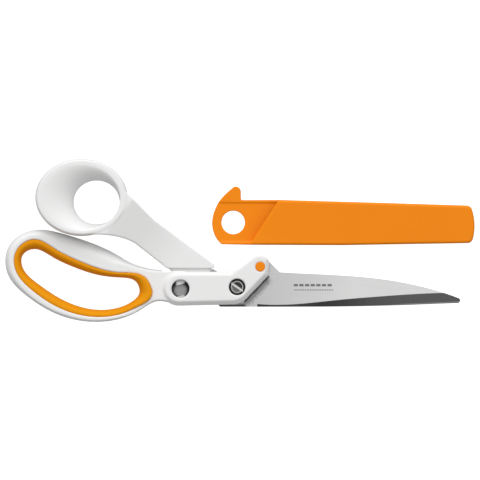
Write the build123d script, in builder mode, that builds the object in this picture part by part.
"""Fabric shears with their blade sheath, lying flat.

The frame's origin is on the pivot axis, on the surface that the shears lie on. +X runs
to the tips, +Y to the thumb loop and +Z up along the pivot screw. Lengths are in millimetres.
"""

import os
from math import cos, hypot, radians, sin, sqrt

from build123d import *

# ---------------------------------------------------------------- driving dimensions

# blades
blade_reach = 124.4  # pivot axis to the tips
blade_thickness = 2.5
blade_gap = 0.2  # between the two blades' inner faces
edge_drop = 11.0  # pivot axis down to the upper blade's cutting edge, at the heel
spine_rise = 8.2  # pivot axis up to the upper blade's spine, at the shoulder
tip_drop = 7.5  # pivot axis down to the middle of the tips
nose_height = 2.6  # height of the blunt tips
edge_land = 0.4  # flat left under the ground bevel
bevel_width = 1.5  # ground bevel at the heel

# pivot
nut_height = 4.0
nut_radius = 6.2
screw_shank_radius = 2.8
screw_head_radius = 3.8
screw_head_height = 3.1
slot_width = 1.1
ring_depth = 0.25  # the screw head's face is sunk inside a raised rim
slot_depth = 1.2
washer_thickness = 0.5
running_fit = 0.05  # radial clearance of a shaft that turns in its hole
seat_fit = 0.02  # clearance of what is held fast
screw_hole_play = 0.7  # between the screw's head and the finger handle
bush_bore_radius = 1.9
bush_clearance = 0.03

# finger handle
loop_height = 14.5
finger_hole_length = 66.2
finger_hole_width = 33.7
finger_hole_front_x = -54.5
finger_hole_y = 4.25  # middle of the finger hole
grip_depth = 4.4  # how far the soft grip stands into the hole
grip_recess = 0.3  # soft grip below the rail's faces
rail_width = 5.0  # hard rail behind the soft grip, at the back of the loop
bolster_rise = 4.6  # bolster plate above the upper blade
bolster_chamfer = 2.3
bolster_corner_radius = 11.0
bolster_nose_radius = 3.0
bolster_half_width = 9.1
neck_height = 12.3
tang_half_width = 5.6  # upper blade's tang
rock_gap = 1.4  # play round the upper blade's tang
lay_gap = 0.2  # between the handle and the face of the blade under it

# the pin that the finger handle rocks on, and the stud that takes the load
rock_pin_x = 12.9
rock_pin_y = 11.3
rock_pin_radius = 2.0
cap_radius = 2.65
cap_height = 1.2
stud_x = -31.6
stud_y = -1.0
stud_radius = 5.9
stud_rise = 2.2
stud_play = 1.7  # round the stud, in the pocket under the bolster's plate
window_overlap = 0.9  # the window's rim over the stud's
window_plate = 2.6  # bolster's thickness round the window
stud_shank_radius = 2.2

# thumb handle
thumb_height = 22.0
thumb_loop_right_x = -61.0
thumb_loop_length = 51.6
thumb_loop_width = 43.2
loop_gap = 0.57  # between the two loops, where they come closest
loop_shoulder = 1.0
thumb_hole_wall = 4.5  # between the thumb hole and the loop's right end
thumb_hole_low = 2.8  # thumb hole below the loop's middle
thumb_hole_length = 25.6
thumb_hole_width = 24.2
lip_left = 1.7  # loop's rim round the funnel, at the left, at the right and at the sides
lip_right = 4.3
lip_side = 2.4
arm_angle = 142.0  # direction of the thumb arm from the pivot, in degrees
arm_width = 17.0
arm_offset = 7.4  # how far the arm's middle line passes below the pivot axis
arm_underside = 2.3
arm_rise = 6.0  # arm above the lower blade
step_drop = 1.3  # from the arm's top down to the step
rise_start = 34.0  # where the arm's top starts to sweep up, from the pivot axis
rise_end = 76.0
crest_drop = 0.3  # from the thumb loop's top down to where the arm meets it
tang_width = 9.5
tang_reach = 60.0
tang_shoulder = 17.4  # from the pivot axis to where the tang widens into the blade
step_y = 10.4  # where the arm steps down to pass under the finger handle
step_width = 4.0

# sheath
sheath_length = 146.4
sheath_x = -14.0  # its left end
sheath_y = 23.4  # its lower edge
sheath_mouth_width = 25.1
sheath_end_width = 20.6
sheath_depth = 9.6
sheath_wall = 1.6
sheath_chamfer = 0.9
end_corner = 3.2
back_wall = 1.8
rim_height = 0.5  # rim round the open end, above the back wall
hanging_hole_x = -2.2
hanging_hole_y = 36.0
hanging_hole_radius = 6.5
hook_height = 7.4
mouth_low_x = 6.9  # slanting mouth of the pocket
mouth_high_x = 23.2

# levels
lower_blade_z = nut_height
blade_meet_z = lower_blade_z + blade_thickness
upper_blade_z = blade_meet_z + blade_gap
upper_face_z = upper_blade_z + blade_thickness
bolster_z = upper_face_z + lay_gap
bolster_top_z = upper_face_z + bolster_rise
skirt_z = blade_meet_z + 6 * lay_gap
arm_top_z = blade_meet_z + arm_rise
step_z = arm_top_z - step_drop

# places that follow from the sizes above
window_radius = stud_radius - window_overlap
screw_hole_radius = screw_head_radius + screw_hole_play
finger_hole_x = finger_hole_front_x - finger_hole_length / 2
thumb_loop_x = thumb_loop_right_x - thumb_loop_length / 2

# ---------------------------------------------------------------- helpers


def moved_out(points, distances):
    """Moves each point of a closed, counterclockwise outline outwards by its distance."""
    count = len(points)
    moved = []
    for i, (x, y) in enumerate(points):
        before, after = points[i - 1], points[(i + 1) % count]
        run_x, run_y = after[0] - before[0], after[1] - before[1]
        run = hypot(run_x, run_y)
        moved.append((x + distances[i] * run_y / run, y - distances[i] * run_x / run))
    return moved


def round_over(height_share):
    """Share of a shoulder that is rounded away at a height from 0, the middle, to 1, the face."""
    return 1 - sqrt(1 - height_share**2)


ROUND_LEVELS = (-1, -0.94, -0.8, -0.5, 0, 0.5, 0.8, 0.94, 1)


def rounded_body(points, shoulders, low, high):
    """A body whose outline bulges at mid height and rounds in by each shoulder at both faces."""
    middle, half = (low + high) / 2, (high - low) / 2
    with BuildPart() as body:
        for level in ROUND_LEVELS:
            inset = [-shoulder * round_over(abs(level)) for shoulder in shoulders]
            with BuildSketch(Plane.XY.offset(middle + level * half)):
                with BuildLine():
                    Spline(*moved_out(points, inset), periodic=True)
                make_face()
        loft()
    return body.part


def rounded_oval(x, y, length, width, shoulder, low, high):
    """The same for an oval outline."""
    middle, half = (low + high) / 2, (high - low) / 2
    with BuildPart() as body:
        for level in ROUND_LEVELS:
            inset = shoulder * round_over(abs(level))
            with BuildSketch(Plane.XY.offset(middle + level * half)):
                with Locations((x, y)):
                    Ellipse(length / 2 - inset, width / 2 - inset)
        loft()
    return body.part


def waisted_hole(narrow, wide, low, high):
    """A cutter through a ring: the narrow outline at mid height, the wide one at both faces."""
    middle, half = (low + high) / 2, (high - low) / 2
    with BuildPart() as cutter:
        for level in ROUND_LEVELS:
            share = round_over(abs(level))
            outline = [
                (nx + (wx - nx) * share, ny + (wy - ny) * share)
                for (nx, ny), (wx, wy) in zip(narrow, wide)
            ]
            with BuildSketch(Plane.XY.offset(middle + level * half)):
                with BuildLine():
                    Spline(*outline, periodic=True)
                make_face()
        loft()
    return cutter.part


def along_arm(distance, offset):
    """A point at a distance along the thumb arm's direction and an offset to its right."""
    turn = radians(arm_angle)
    return (
        distance * cos(turn) + offset * sin(turn),
        distance * sin(turn) - offset * cos(turn),
    )


def on_arm_at(y, offset):
    """The point where a line along the arm, at an offset to its right, reaches a height y."""
    turn = radians(arm_angle)
    return along_arm((y + offset * cos(turn)) / sin(turn), offset)


arm_right = arm_width / 2 - arm_offset
arm_left = -arm_width / 2 - arm_offset
step_left = on_arm_at(step_y, arm_left)[0]
step_right = on_arm_at(step_y, arm_right)[0] - 3.2
arm_corner_x = step_right + 1.8

# ---------------------------------------------------------------- blades

spine_foot_x = 0.191 * blade_reach
edge_straight_x = 0.29 * blade_reach
heel_x = 0.09 * blade_reach
nose_x = blade_reach - nose_height / 3
nose_top_y = -tip_drop + nose_height / 2
nose_low_y = -tip_drop - nose_height / 2
lug_radius = 2.8 * rock_pin_radius

# shares of the way from the shoulder to the nose, and of the fall in between
SPINE_FALL = ((0.29, 0.10), (0.54, 0.24), (0.76, 0.50))
spine_points = [(spine_foot_x, spine_rise)]
for way, fall in SPINE_FALL:
    spine_points.append(
        (
            spine_foot_x + way * (nose_x - spine_foot_x),
            spine_rise - fall * (spine_rise - nose_top_y),
        )
    )
spine_points.append((nose_x, nose_top_y))

# the bevel's upper border: shares of the reach, and of the climb from the heel to the nose
BEVEL_CLIMB = ((0.46, 0.37), (0.60, 0.60), (0.73, 0.79), (0.92, 0.97), (1.08, 1.0))
bevel_low_y = -edge_drop + bevel_width
bevel_high_y = -tip_drop + 1.7 * nose_height
bevel_points = [(heel_x, bevel_low_y), (edge_straight_x, bevel_low_y + 0.2)]
for way, climb in BEVEL_CLIMB:
    bevel_points.append(
        (way * blade_reach, bevel_low_y + climb * (bevel_high_y - bevel_low_y))
    )


def edge_y(x):
    """The upper blade's cutting edge: straight from the heel, then rising to the nose."""
    share = max(0, (x - edge_straight_x) / (nose_x - edge_straight_x))
    return -edge_drop + (edge_drop + nose_low_y) * share**2


def bevel_cutter(edge_points, border_points, edge_z, face_z, away_y):
    """What grinding takes off a blade, between its cutting edge and the bevel's border."""
    with BuildPart() as cutter:
        for points, z in ((edge_points, edge_z), (border_points, face_z)):
            with BuildSketch(Plane.XY.offset(z)):
                with BuildLine():
                    Spline(*points)
                    Polyline(
                        points[-1],
                        (points[-1][0], away_y),
                        (points[0][0], away_y),
                        points[0],
                    )
                make_face()
        loft(ruled=True)
    return cutter.part


# upper blade: its cutting edge looks down, its tang runs back to the load stud
tang_low_y = stud_y - tang_half_width
tang_high_y = stud_y + tang_half_width
edge_middle_x = (edge_straight_x + nose_x) / 2
lug_left = (rock_pin_x - 0.72 * lug_radius, rock_pin_y + 0.69 * lug_radius)
lug_right = (rock_pin_x + 0.68 * lug_radius, rock_pin_y + 0.73 * lug_radius)
with BuildPart() as upper_blade:
    with BuildSketch(Plane.XY.offset(upper_blade_z)):
        with BuildLine():
            Spline(*spine_points)
            ThreePointArc(
                (nose_x, nose_top_y), (blade_reach, -tip_drop), (nose_x, nose_low_y)
            )
            Spline(
                (nose_x, nose_low_y),
                (edge_middle_x, edge_y(edge_middle_x)),
                (edge_straight_x, -edge_drop),
            )
            Polyline(
                (edge_straight_x, -edge_drop),
                (-9.5, -edge_drop),
                (-13.5, tang_low_y),
                (stud_x, tang_low_y),
            )
            ThreePointArc(
                (stud_x, tang_low_y),
                (stud_x - tang_half_width, stud_y),
                (stud_x, tang_high_y),
            )
            Polyline((stud_x, tang_high_y), (-8.0, tang_high_y), lug_left)
            ThreePointArc(lug_left, (rock_pin_x, rock_pin_y + lug_radius), lug_right)
            Line(lug_right, (spine_foot_x, spine_rise))
        make_face()
    extrude(amount=blade_thickness)
    upper_edge = [(x, edge_y(x) - 0.01) for x, _ in bevel_points]
    add(
        bevel_cutter(
            upper_edge, bevel_points, upper_blade_z + edge_land, upper_face_z, -30
        ),
        mode=Mode.SUBTRACT,
    )
    with Locations((0, 0)):
        Cylinder(
            screw_shank_radius + running_fit, 3 * upper_face_z, mode=Mode.SUBTRACT
        )
    with Locations((rock_pin_x, rock_pin_y)):
        Cylinder(rock_pin_radius + seat_fit, 3 * upper_face_z, mode=Mode.SUBTRACT)
    with Locations((stud_x, stud_y)):
        Cylinder(stud_shank_radius + seat_fit, 3 * upper_face_z, mode=Mode.SUBTRACT)
upper_blade.part.label = "upper_blade"

# lower blade: its cutting edge looks up, its tang runs into the thumb arm
tang_right = -1.5
tang_left = tang_right - tang_width
lower_spine_y = -edge_drop + 0.5
lower_nose_x = nose_x - 0.6
# shares of the reach, height of the edge, and width of the bevel there
LOWER_EDGE = ((0.10, 7.0, 1.5), (0.30, 6.4, 1.6), (0.64, 0.9, 3.2), (0.86, -3.6, 4.2))
lower_edge_points = [(way * blade_reach, y) for way, y, _ in LOWER_EDGE]
lower_edge_points.append((lower_nose_x, nose_top_y - 0.3))
lower_bevel_points = [(way * blade_reach, y - width) for way, y, width in LOWER_EDGE]
lower_bevel_points.append((lower_nose_x, nose_low_y - 1.0))


def lower_tang(spare, right_start):
    """The lower blade's tang inside the thumb handle, made larger all round by spare."""
    far = tang_reach + spare
    return [
        along_arm(12, tang_left - spare),
        along_arm(far, tang_left - spare),
        along_arm(far, tang_right + spare),
        along_arm(right_start, tang_right + spare),
    ]


with BuildPart() as lower_blade:
    with BuildSketch(Plane.XY.offset(lower_blade_z)):
        with BuildLine():
            Spline(*lower_edge_points)
            ThreePointArc(
                lower_edge_points[-1],
                (blade_reach - 0.6, -tip_drop - 0.2),
                (lower_nose_x, nose_low_y - 0.2),
            )
            Polyline(
                (lower_nose_x, nose_low_y - 0.2),
                (0.8 * blade_reach, lower_spine_y + 0.75),
                (0.3 * blade_reach, lower_spine_y),
                (-8.0, lower_spine_y),
                (-13.0, -6.0),
                *lower_tang(0, tang_shoulder),
                (step_right + 1.4, step_y - 0.3),
                along_arm(13.5, 0),
                (-6.0, 8.0),
                (8.0, 8.0),
                lower_edge_points[0],
            )
        make_face()
    extrude(amount=blade_thickness)
    lower_edge = [(x, y + 0.01) for x, y in lower_edge_points]
    add(
        bevel_cutter(
            lower_edge, lower_bevel_points, blade_meet_z - edge_land, lower_blade_z, 30
        ),
        mode=Mode.SUBTRACT,
    )
    with Locations((0, 0)):
        Cylinder(screw_shank_radius + seat_fit, 3 * upper_face_z, mode=Mode.SUBTRACT)
lower_blade.part.label = "lower_blade"

# ---------------------------------------------------------------- finger handle

# the finger hole counterclockwise from its front end, as shares of its length and width,
# then how deep the grip is there, as a share of grip_depth, and the rail behind it, as a
# share of rail_width; the front end has no rail because the neck starts there
FINGER_STATIONS = (
    (0.500, -0.160, 1.55, None),
    (0.455, -0.015, 0.95, None),
    (0.335, 0.030, 0.66, 1.60),
    (0.145, 0.075, 0.85, 2.35),
    (-0.054, 0.203, 1.00, 2.34),
    (-0.240, 0.378, 1.08, 1.87),
    (-0.391, 0.500, 1.25, 1.05),
    (-0.483, 0.396, 1.00, 1.00),
    (-0.489, 0.242, 1.00, 1.00),
    (-0.350, -0.076, 1.14, 0.86),
    (-0.134, -0.346, 1.14, 0.74),
    (0.145, -0.500, 0.95, 0.55),
    (0.341, -0.455, 0.88, 0.50),
    (0.453, -0.343, 1.00, 0.48),
)
finger_hole = [
    (finger_hole_x + x * finger_hole_length, finger_hole_y + y * finger_hole_width)
    for x, y, _, _ in FINGER_STATIONS
]
grip_depths = [grip * grip_depth for _, _, grip, _ in FINGER_STATIONS]
grip_outline = moved_out(finger_hole, grip_depths)
grip_rim = moved_out(finger_hole, [0.75 * depth for depth in grip_depths])
railed = [i for i, station in enumerate(FINGER_STATIONS) if station[3] is not None]
rail_widths = [FINGER_STATIONS[i][3] * rail_width for i in railed]
reaches = [
    depth + rail_width * (station[3] or 0)
    for depth, station in zip(grip_depths, FINGER_STATIONS)
]
outside = moved_out(finger_hole, reaches)
loop_outline = [outside[i] for i in railed]
# the rail is rounder along the top, under the palm, than along the bottom
loop_shoulders = [
    (0.6 if FINGER_STATIONS[i][1] > 0 else 0.35) * width
    for i, width in zip(railed, rail_widths)
]
neck_outline = [
    (stud_x - 13.5, -bolster_half_width + 1.0),
    (stud_x - 5.0, -bolster_half_width),
    (stud_x + 4.0, -bolster_half_width - 0.9),
    (stud_x + 10.0, stud_y),
    (stud_x + 4.0, bolster_half_width - 0.3),
    (stud_x - 6.0, bolster_half_width + 0.2),
    (stud_x - 16.0, bolster_half_width + 1.0),
]
neck_shoulders = [2.2, 2.2, 2.2, 2.2, 2.2, 2.2, 3.6]

# bolster: a plate over the pivot, with a lobe round the rocking pin and a rounded end,
# chamfered along its lower edge and its slanted end
bolster_low_y = -bolster_half_width - 1.3
bolster_high_y = bolster_half_width - 0.1
lobe_radius = lug_radius + 0.3
lobe_x = rock_pin_x - 0.3
lobe_y = rock_pin_y + 0.4
bolster_end_x = stud_x - 1.0
bolster_end_radius = (bolster_high_y - bolster_low_y) / 2
corner = (2.1, bolster_low_y + 0.7)
nose = (17.3, 6.2)
lobe_start, lobe_top, lobe_end = [
    (lobe_x + lobe_radius * cos(radians(turn)), lobe_y + lobe_radius * sin(radians(turn)))
    for turn in (15, 75, 128)
]
under_z = skirt_z - 20
with BuildPart() as bolster:
    with BuildSketch(Plane.XY.offset(skirt_z)):
        with BuildLine():
            Polyline((bolster_end_x, bolster_low_y), corner, nose, lobe_start)
            ThreePointArc(lobe_start, lobe_top, lobe_end)
            Polyline(lobe_end, (-0.6, bolster_high_y), (bolster_end_x, bolster_high_y))
            ThreePointArc(
                (bolster_end_x, bolster_high_y),
                (bolster_end_x - bolster_end_radius, (bolster_low_y + bolster_high_y) / 2),
                (bolster_end_x, bolster_low_y),
            )
        make_face()
        fillet(vertices().filter_by_position(Axis.X, 2, 3), bolster_corner_radius)
        fillet(vertices().filter_by_position(Axis.X, 17, 17.5), bolster_nose_radius)
    extrude(amount=bolster_top_z - skirt_z)
    low_edges = bolster.edges().group_by(Axis.Z)[-1].sort_by(Axis.Y)[:4]
    chamfer(low_edges, bolster_chamfer)

with BuildPart() as finger_handle:
    add(
        rounded_body(
            loop_outline + neck_outline, loop_shoulders + neck_shoulders, 0, loop_height
        )
    )
    # the neck falls from the loop to the bolster
    with BuildSketch(Plane.XZ.offset(-40)):
        with BuildLine():
            Polyline(
                (stud_x - 36, loop_height + 1),
                (stud_x - 36, loop_height),
                (stud_x - 13, neck_height),
                (stud_x + 20, neck_height),
                (stud_x + 20, loop_height + 1),
                close=True,
            )
        make_face()
    extrude(amount=80, mode=Mode.SUBTRACT)
    add(bolster.part)
    # room for the lower blade's tang and the thumb arm, which pass under the neck
    with BuildSketch(Plane.XY.offset(under_z)):
        with Locations((stud_x - 14.5 + 40, 0)):
            Rectangle(80, 60)
    extrude(amount=20, mode=Mode.SUBTRACT)
    # room for the thumb handle's step, under the bolster's upper edge
    with BuildSketch(Plane.XY.offset(skirt_z - 1)):
        with BuildLine():
            Polyline(
                (step_left + 1.0, step_y - step_width - 0.8),
                (-6.0, step_y - step_width - 0.8),
                (-6.0, step_y + 6),
                (step_left - 3.0, step_y + 6),
                (step_left - 3.0, step_y - 1.0),
                close=True,
            )
        make_face()
    extrude(amount=step_z + 2 * lay_gap - skirt_z + 1, mode=Mode.SUBTRACT)
    # slot in which the upper blade's tang has its play, open towards the blade
    slot_half = tang_half_width + rock_gap
    with BuildSketch(Plane.XY.offset(skirt_z - 1)):
        with Locations((stud_x, stud_y)):
            Circle(slot_half)
        with Locations((stud_x / 2, stud_y)):
            Rectangle(-stud_x, 2 * slot_half)
        with Locations((-15 + 30, 0)):
            Rectangle(60, 60)
    extrude(amount=bolster_z - skirt_z + 1, mode=Mode.SUBTRACT)
    with Locations((0, 0)):
        Cylinder(screw_hole_radius, 60, mode=Mode.SUBTRACT)
    with Locations((stud_x, stud_y)):
        Cylinder(window_radius, 60, mode=Mode.SUBTRACT)
    with Locations((stud_x, stud_y, skirt_z - 1)):
        Cylinder(
            stud_radius + stud_play,
            bolster_top_z - window_plate - skirt_z + 1,
            align=(Align.CENTER, Align.CENTER, Align.MIN),
            mode=Mode.SUBTRACT,
        )
    with Locations((rock_pin_x, rock_pin_y)):
        Cylinder(rock_pin_radius + running_fit, 60, mode=Mode.SUBTRACT)
    with Locations((rock_pin_x, rock_pin_y, bolster_top_z)):
        Cylinder(cap_radius + seat_fit, 2 * cap_height, mode=Mode.SUBTRACT)
    # seat of the soft grip
    with BuildSketch(Plane.XY.offset(-1)):
        with BuildLine():
            Spline(*moved_out(grip_outline, [seat_fit] * len(grip_outline)), periodic=True)
        make_face()
    extrude(amount=loop_height + 2, mode=Mode.SUBTRACT)
finger_handle.part.label = "finger_handle"

# soft grip that lines the finger hole
with BuildPart() as finger_grip:
    with BuildSketch(Plane.XY.offset(grip_recess)):
        with BuildLine():
            Spline(*grip_outline, periodic=True)
        make_face()
    extrude(amount=loop_height - 2 * grip_recess)
    add(
        waisted_hole(finger_hole, grip_rim, grip_recess - 0.01, loop_height - grip_recess + 0.01),
        mode=Mode.SUBTRACT,
    )
finger_grip.part.label = "finger_grip"

# cap over the rocking pin
with BuildPart() as pin_cap:
    with Locations((rock_pin_x, rock_pin_y, bolster_top_z - cap_height + seat_fit)):
        Cylinder(
            cap_radius, cap_height + 0.1, align=(Align.CENTER, Align.CENTER, Align.MIN)
        )
    fillet(pin_cap.edges().group_by(Axis.Z)[-1], 0.4)
pin_cap.part.label = "pin_cap"

# ---------------------------------------------------------------- pin and stud of the upper blade

pin_top_z = bolster_top_z - cap_height - 0.3
with BuildPart() as handle_pin:
    with Locations((rock_pin_x, rock_pin_y, upper_blade_z)):
        Cylinder(
            rock_pin_radius,
            pin_top_z - upper_blade_z,
            align=(Align.CENTER, Align.CENTER, Align.MIN),
        )
handle_pin.part.label = "handle_pin"

with BuildPart() as load_stud:
    # domed head: the cap of a ball, as wide as the head and as high as its rise
    ball_radius = (stud_radius**2 + stud_rise**2) / (2 * stud_rise)
    with Locations((stud_x, stud_y, upper_face_z + stud_rise - ball_radius)):
        Sphere(ball_radius)
    with Locations((stud_x, stud_y, upper_face_z)):
        Cylinder(
            2 * ball_radius,
            3 * ball_radius,
            align=(Align.CENTER, Align.CENTER, Align.MAX),
            mode=Mode.SUBTRACT,
        )
    with Locations((stud_x, stud_y, upper_blade_z)):
        Cylinder(
            stud_shank_radius,
            blade_thickness,
            align=(Align.CENTER, Align.CENTER, Align.MIN),
        )
load_stud.part.label = "load_stud"

# ---------------------------------------------------------------- pivot

head_z = upper_face_z + washer_thickness
with BuildPart() as pivot_nut:
    with Locations((0, 0, 0)):
        Cylinder(nut_radius, nut_height, align=(Align.CENTER, Align.CENTER, Align.MIN))
    chamfer(pivot_nut.edges().group_by(Axis.Z)[0], 0.5)
    with Locations((0, 0, 0.8)):
        Cylinder(
            bush_bore_radius,
            nut_height,
            align=(Align.CENTER, Align.CENTER, Align.MIN),
            mode=Mode.SUBTRACT,
        )
pivot_nut.part.label = "pivot_nut"

with BuildPart() as pivot_bush:
    with Locations((0, 0, lower_blade_z)):
        Cylinder(
            screw_shank_radius,
            head_z - lower_blade_z,
            align=(Align.CENTER, Align.CENTER, Align.MIN),
        )
        Cylinder(bush_bore_radius + bush_clearance, 60, mode=Mode.SUBTRACT)
pivot_bush.part.label = "pivot_bush"

with BuildPart() as pivot_screw:
    with Locations((0, 0, 1.0)):
        Cylinder(
            bush_bore_radius,
            head_z - 1.0,
            align=(Align.CENTER, Align.CENTER, Align.MIN),
        )
    with Locations((0, 0, head_z)):
        Cylinder(
            screw_head_radius,
            screw_head_height,
            align=(Align.CENTER, Align.CENTER, Align.MIN),
        )
    chamfer(pivot_screw.edges().group_by(Axis.Z)[-1], 0.4)
    with Locations((0, 0, head_z + screw_head_height - ring_depth)):
        Cylinder(
            0.88 * screw_head_radius - 0.4,
            screw_head_height,
            align=(Align.CENTER, Align.CENTER, Align.MIN),
            mode=Mode.SUBTRACT,
        )
    with Locations(Location((0, 0, head_z + screw_head_height), (0, 0, -35))):
        Box(20, slot_width, 2 * slot_depth, mode=Mode.SUBTRACT)
pivot_screw.part.label = "pivot_screw"

with BuildPart() as screw_washer:
    with Locations((0, 0, upper_face_z)):
        Cylinder(
            screw_head_radius - 0.1,
            washer_thickness,
            align=(Align.CENTER, Align.CENTER, Align.MIN),
        )
        Cylinder(screw_shank_radius + seat_fit, 60, mode=Mode.SUBTRACT)
screw_washer.part.label = "screw_washer"

with BuildPart() as blade_washer:
    with Locations((0, 0, blade_meet_z)):
        Cylinder(
            nut_radius,
            0.75 * blade_gap,
            align=(Align.CENTER, Align.CENTER, Align.MIN),
        )
        Cylinder(screw_shank_radius + seat_fit, 60, mode=Mode.SUBTRACT)
blade_washer.part.label = "blade_washer"

# ---------------------------------------------------------------- thumb handle

# the loop stands just clear of the finger loop, wherever that reaches highest under it
reach_up = []
for x, y in loop_outline:
    across = (x - thumb_loop_x) / (thumb_loop_length / 2)
    if abs(across) < 1:
        reach_up.append(y + thumb_loop_width / 2 * sqrt(1 - across**2))
thumb_loop_y = max(reach_up) + loop_gap
thumb_hole_x = thumb_loop_right_x - thumb_hole_wall - thumb_hole_length / 2
thumb_hole_y = thumb_loop_y - thumb_hole_low
funnel_x = thumb_loop_x + (lip_left - lip_right) / 2
funnel_length = thumb_loop_length - lip_left - lip_right
funnel_width = thumb_loop_width - 2 * lip_side
arm_crest_z = thumb_height - crest_drop
arm_side = Plane((0, 0, 0), x_dir=(*along_arm(1, 0), 0), z_dir=(*along_arm(0, 1), 0))

with BuildPart() as thumb_handle:
    add(
        rounded_oval(
            thumb_loop_x,
            thumb_loop_y,
            thumb_loop_length,
            thumb_loop_width,
            loop_shoulder,
            0,
            thumb_height,
        )
    )
    with BuildSketch(Plane.XY.offset(arm_underside)) as arm_sketch:
        with BuildLine():
            Spline(
                along_arm(60, arm_right),
                along_arm(71, arm_right + 1.4),
                (thumb_loop_right_x - 0.6, thumb_loop_y + 3),
            )
            Polyline(
                (thumb_loop_right_x - 0.6, thumb_loop_y + 3),
                (thumb_loop_right_x - 4, thumb_loop_y),
                (thumb_loop_right_x - 12, thumb_loop_y - 0.42 * thumb_loop_width),
                (thumb_loop_right_x - 20, thumb_loop_y - 0.48 * thumb_loop_width),
            )
            Spline(
                (thumb_loop_right_x - 20, thumb_loop_y - 0.48 * thumb_loop_width),
                (thumb_loop_right_x - 11.5, thumb_loop_y - 0.488 * thumb_loop_width),
                along_arm(68.8, arm_left - 2.6),
                along_arm(60, arm_left),
            )
            Polyline(
                along_arm(60, arm_left),
                on_arm_at(step_y, arm_left),
                (arm_corner_x, step_y),
                on_arm_at(step_y + 2.2, arm_right + 1.0),
                along_arm(60, arm_right),
            )
        make_face()
    extrude(amount=arm_crest_z - arm_underside)
    # the arm's top is level near the pivot and sweeps up to meet the loop
    with BuildSketch(arm_side):
        with BuildLine():
            Line((0, arm_top_z), (rise_start, arm_top_z))
            Spline(
                (rise_start, arm_top_z),
                (rise_end, arm_crest_z),
                tangents=((1, 0), (1, 0.3)),
            )
            Polyline(
                (rise_end, arm_crest_z),
                (rise_end, thumb_height + 10),
                (0, thumb_height + 10),
                (0, arm_top_z),
            )
        make_face()
    extrude(amount=60, both=True, mode=Mode.SUBTRACT)
    # the step that passes under the finger handle
    with BuildSketch(Plane.XY.offset(arm_underside)):
        with BuildLine():
            Polyline(
                (step_left, step_y + 1),
                (step_left + 5, step_y - step_width),
                (step_right, step_y - step_width),
                (step_right, step_y + 1),
                close=True,
            )
        make_face()
    extrude(amount=step_z - arm_underside)
    # seat of the lower blade's tang
    with BuildSketch(Plane.XY.offset(lower_blade_z - seat_fit)):
        with BuildLine():
            Polyline(*lower_tang(seat_fit, 12), close=True)
        make_face()
    extrude(amount=blade_thickness + 2 * seat_fit, mode=Mode.SUBTRACT)
    # funnelled thumb hole
    middle = thumb_height / 2
    with BuildPart(mode=Mode.PRIVATE) as funnel:
        for level in ROUND_LEVELS:
            share = round_over(abs(level))
            with BuildSketch(Plane.XY.offset(middle + level * (middle + 0.01))):
                with Locations(
                    (
                        thumb_hole_x + share * (funnel_x - thumb_hole_x),
                        thumb_hole_y + share * (thumb_loop_y - thumb_hole_y),
                    )
                ):
                    Ellipse(
                        (thumb_hole_length + share * (funnel_length - thumb_hole_length)) / 2,
                        (thumb_hole_width + share * (funnel_width - thumb_hole_width)) / 2,
                    )
        loft()
    add(funnel.part, mode=Mode.SUBTRACT)
thumb_handle.part.label = "thumb_handle"

# ---------------------------------------------------------------- sheath

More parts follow.
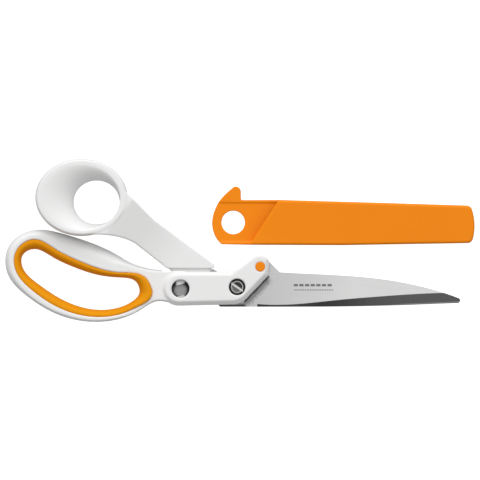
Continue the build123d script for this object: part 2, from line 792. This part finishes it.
sheath_end_x = sheath_x + sheath_length
sheath_top_y = sheath_y + sheath_mouth_width
end_top_y = sheath_y + 1.3 + sheath_end_width
hook_x = 2.1
with BuildPart() as blade_sheath:
    with BuildSketch(Plane.XY):
        with BuildLine():
            Polyline(
                (sheath_x + 5.3, sheath_y + 0.4),
                (-hook_x + sheath_x + 24.3, sheath_y + 0.1),
                (0.4 * sheath_length, sheath_y - 0.1),
                (sheath_end_x - 1.6, sheath_y + 1.1),
            )
            ThreePointArc(
                (sheath_end_x - 1.6, sheath_y + 1.1),
                (sheath_end_x, (sheath_y + end_top_y) / 2 + 0.4),
                (sheath_end_x - 2.2, end_top_y + 0.1),
            )
            Polyline(
                (sheath_end_x - 2.2, end_top_y + 0.1),
                (0.54 * sheath_length, end_top_y + 1.7),
                (hook_x + 21, sheath_top_y + 0.1),
                (hook_x, sheath_top_y),
                (hook_x, sheath_top_y + 0.65 * hook_height),
            )
            ThreePointArc(
                (hook_x, sheath_top_y + 0.65 * hook_height),
                (hook_x - 1.0, sheath_top_y + 0.93 * hook_height),
                (hook_x - 3.9, sheath_top_y + hook_height),
            )
            Spline(
                (hook_x - 3.9, sheath_top_y + hook_height),
                (sheath_x + 6.6, sheath_top_y + 2.4),
                (sheath_x + 3.6, sheath_top_y - 1.3),
                (sheath_x + 1.6, sheath_y + 19.8),
                (sheath_x, sheath_y + 12.7),
                (sheath_x + 0.8, sheath_y + 7.2),
                (sheath_x + 5.3, sheath_y + 0.4),
            )
        make_face()
        fillet(vertices().filter_by_position(Axis.X, sheath_end_x - 3, sheath_end_x), end_corner)
    extrude(amount=sheath_depth)
    front_rim = blade_sheath.edges().group_by(Axis.Z)[-1]
    chamfer([edge for edge in front_rim if edge.center().X > mouth_high_x], sheath_chamfer)
    # open end: the front wall stops at a slanting mouth, the back wall runs on as a plate
    with BuildSketch(Plane.XY.offset(back_wall + rim_height)):
        with BuildLine():
            Polyline(
                (mouth_low_x, sheath_y),
                (mouth_high_x, sheath_top_y),
                (mouth_high_x, sheath_top_y + 20),
                (sheath_x - 10, sheath_top_y + 20),
                (sheath_x - 10, sheath_y - 10),
                (mouth_low_x, sheath_y - 10),
                close=True,
            )
        make_face()
    extrude(amount=sheath_depth, mode=Mode.SUBTRACT)
    # pocket for the closed blades
    with BuildSketch(Plane.XY.offset(back_wall)):
        with BuildLine():
            Polyline(
                (sheath_x - 10, sheath_y + sheath_wall),
                (0.4 * sheath_length, sheath_y + sheath_wall),
                (sheath_end_x - 5.4, sheath_y + 1.0 + sheath_wall),
            )
            ThreePointArc(
                (sheath_end_x - 5.4, sheath_y + 1.0 + sheath_wall),
                (sheath_end_x - sheath_wall, (sheath_y + end_top_y) / 2 + 0.4),
                (sheath_end_x - 5.9, end_top_y + 0.3 - sheath_wall),
            )
            Polyline(
                (sheath_end_x - 5.9, end_top_y + 0.3 - sheath_wall),
                (0.54 * sheath_length, end_top_y + 1.7 - sheath_wall),
                (hook_x + 21, sheath_top_y - 0.8 * sheath_wall),
                (sheath_x - 10, sheath_top_y - 0.8 * sheath_wall),
                (sheath_x - 10, sheath_y + sheath_wall),
            )
        make_face()
    extrude(amount=sheath_depth - back_wall - sheath_wall, mode=Mode.SUBTRACT)
    with Locations((hanging_hole_x, hanging_hole_y)):
        Cylinder(hanging_hole_radius, 60, mode=Mode.SUBTRACT)
blade_sheath.part.label = "blade_sheath"

# ---------------------------------------------------------------- output

PIECES = (
    upper_blade,
    lower_blade,
    finger_handle,
    finger_grip,
    pin_cap,
    handle_pin,
    load_stud,
    pivot_nut,
    pivot_bush,
    pivot_screw,
    screw_washer,
    blade_washer,
    thumb_handle,
    blade_sheath,
)

if __name__ == "__main__":
    os.makedirs("parts", exist_ok=True)
    for piece in PIECES:
        export_step(piece.part, f"parts/{piece.part.label}.step")
